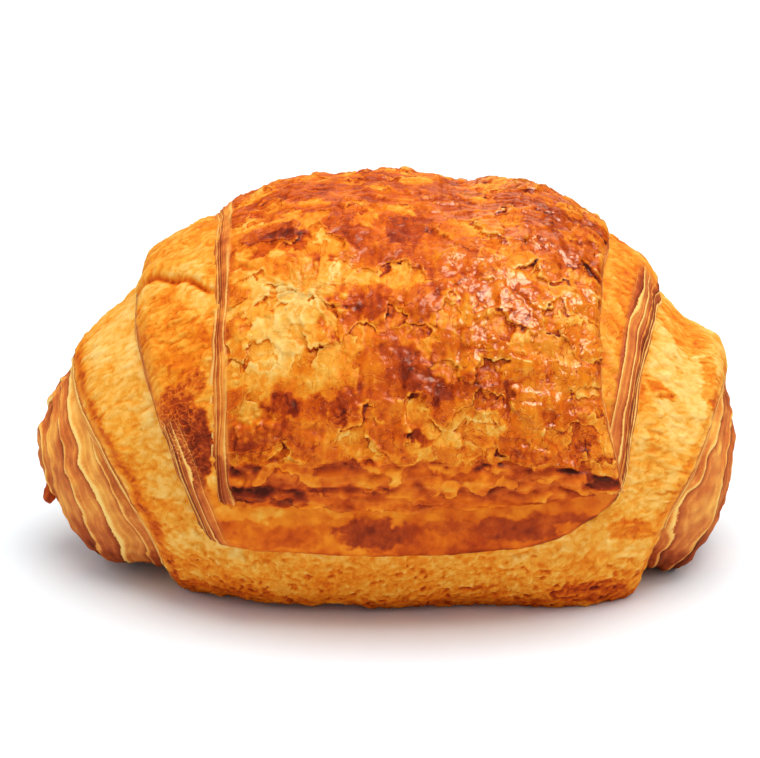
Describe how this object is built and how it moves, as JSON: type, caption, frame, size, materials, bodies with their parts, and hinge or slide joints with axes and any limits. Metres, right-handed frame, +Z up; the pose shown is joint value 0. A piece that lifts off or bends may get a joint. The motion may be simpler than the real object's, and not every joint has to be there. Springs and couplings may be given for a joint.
{
  "type": "pain au chocolat",
  "caption": "Laminated chocolate pastry rolled like a croissant: a square-ended outer flap over wider turns of dough that step down to two striped ends, resting on a flat base.",
  "frame": {"origin": "centre of the bounding box at the base that the pastry rests on", "axes": "+X along the roll, towards the blunter end; -Y towards the side where the outer flap ends; +Z up"},
  "size_m": [0.135, 0.083, 0.0769],
  "materials": {
    "crust": "egg-washed baked crust, golden to dark amber, glossy on the browned skin and matt where the dough is pale"
  },
  "bodies": {
    "root": {"pastry": "crust"}
  },
  "joints": []
}
